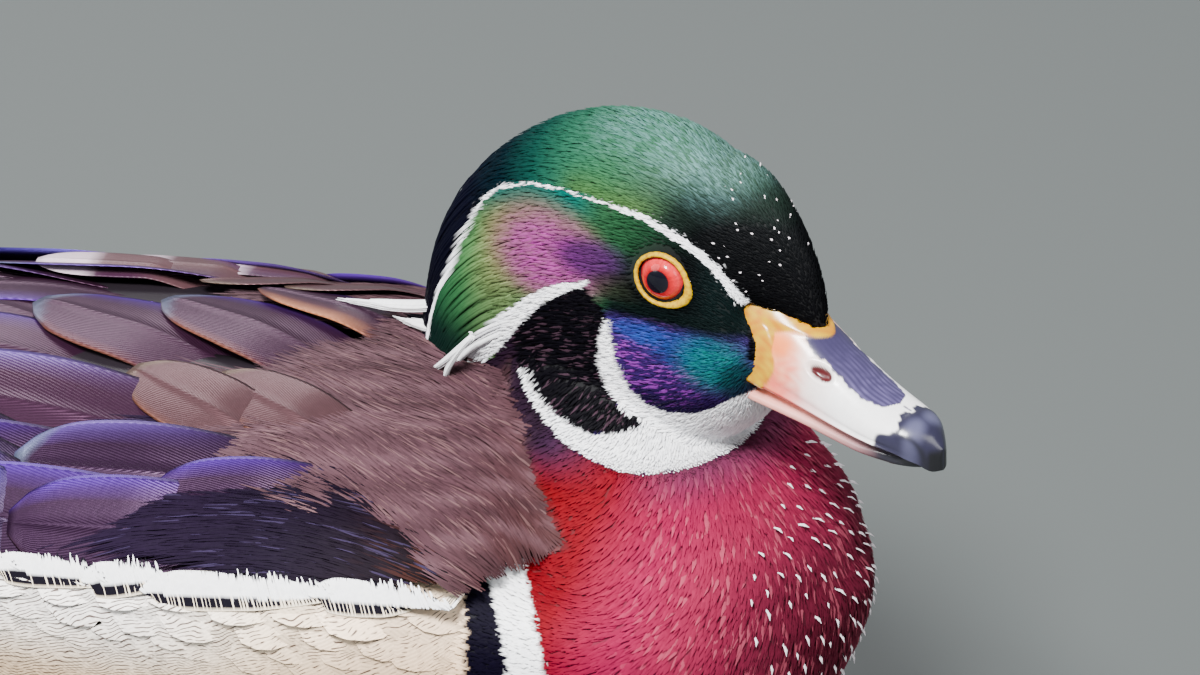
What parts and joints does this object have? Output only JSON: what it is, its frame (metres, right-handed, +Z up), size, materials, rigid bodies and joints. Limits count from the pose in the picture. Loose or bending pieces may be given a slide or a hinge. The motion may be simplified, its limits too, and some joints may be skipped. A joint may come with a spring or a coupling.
{
  "type": "wood duck",
  "caption": "Still life-size drake duck, resting on its belly as it floats, head drawn in and turned to its right, with a swept-back crest, folded wings and a long tail.",
  "frame": {"origin": "the middle of the flat patch under the belly, on the floor that the bird rests on", "axes": "+X towards the breast, +Y towards the bird's left, +Z up"},
  "size_m": [0.3988, 0.1403, 0.1583],
  "materials": {
    "body_plumage": "fine soft feathers, tan flanks with thin dark wavy bars, black and white edge bars, white belly",
    "breast_plumage": "fine soft feathers, chestnut red with small white flecks",
    "head_plumage": "short iridescent feathers, green and purple with white stripes",
    "bill_horn": "smooth horn, white and pink with a black ridge and tip, red at the base and a yellow rim",
    "eye_glass": "wet gloss over a red iris and a black pupil",
    "wing_feathers": "flat overlapping vanes, dark with a blue and purple sheen, brown towards the shoulder",
    "tail_feathers": "long flat vanes, black with a faint green sheen",
    "foot_skin": "scaled dull yellow skin with darker webs"
  },
  "bodies": {
    "root": {"torso": "body_plumage", "neck": "breast_plumage", "head": "head_plumage", "bill_upper": "bill_horn", "bill_lower": "bill_horn", "eye_right": "eye_glass", "eye_left": "eye_glass", "wing_right": "wing_feathers", "wing_left": "wing_feathers", "tail": "tail_feathers", "leg_right": "foot_skin", "leg_left": "foot_skin", "foot_right": "foot_skin", "foot_left": "foot_skin"}
  },
  "joints": []
}
